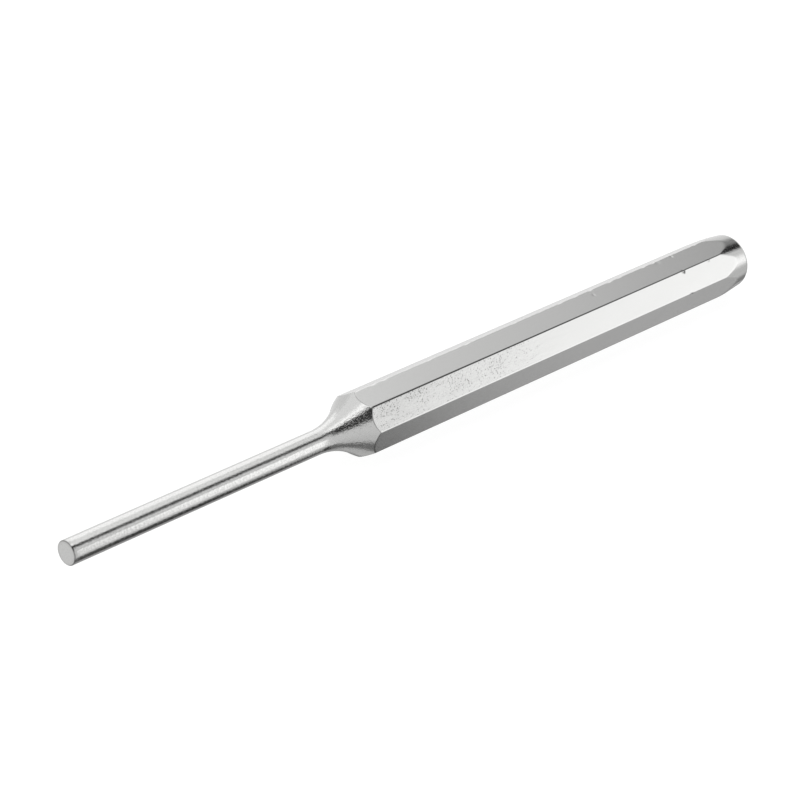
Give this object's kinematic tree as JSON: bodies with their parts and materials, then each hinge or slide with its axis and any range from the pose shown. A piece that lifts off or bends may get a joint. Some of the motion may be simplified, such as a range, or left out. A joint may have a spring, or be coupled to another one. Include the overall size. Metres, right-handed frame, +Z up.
{
  "type": "pin punch",
  "caption": "Octagonal steel punch with a long straight round drive pin, a turned shoulder and a tapered striking head.",
  "frame": {"origin": "on the surface that the punch lies on, under the middle of its length", "axes": "+X along the bar from the pin's tip towards the struck face, +Z up, square to the facet that it lies on"},
  "size_m": [0.15, 0.01, 0.01],
  "materials": {
    "chrome_plate": "bright chrome over drawn flats and fine turning"
  },
  "bodies": {
    "root": {"pin": "chrome_plate", "shoulder": "chrome_plate", "shank": "chrome_plate", "striking_head": "chrome_plate"}
  },
  "joints": []
}
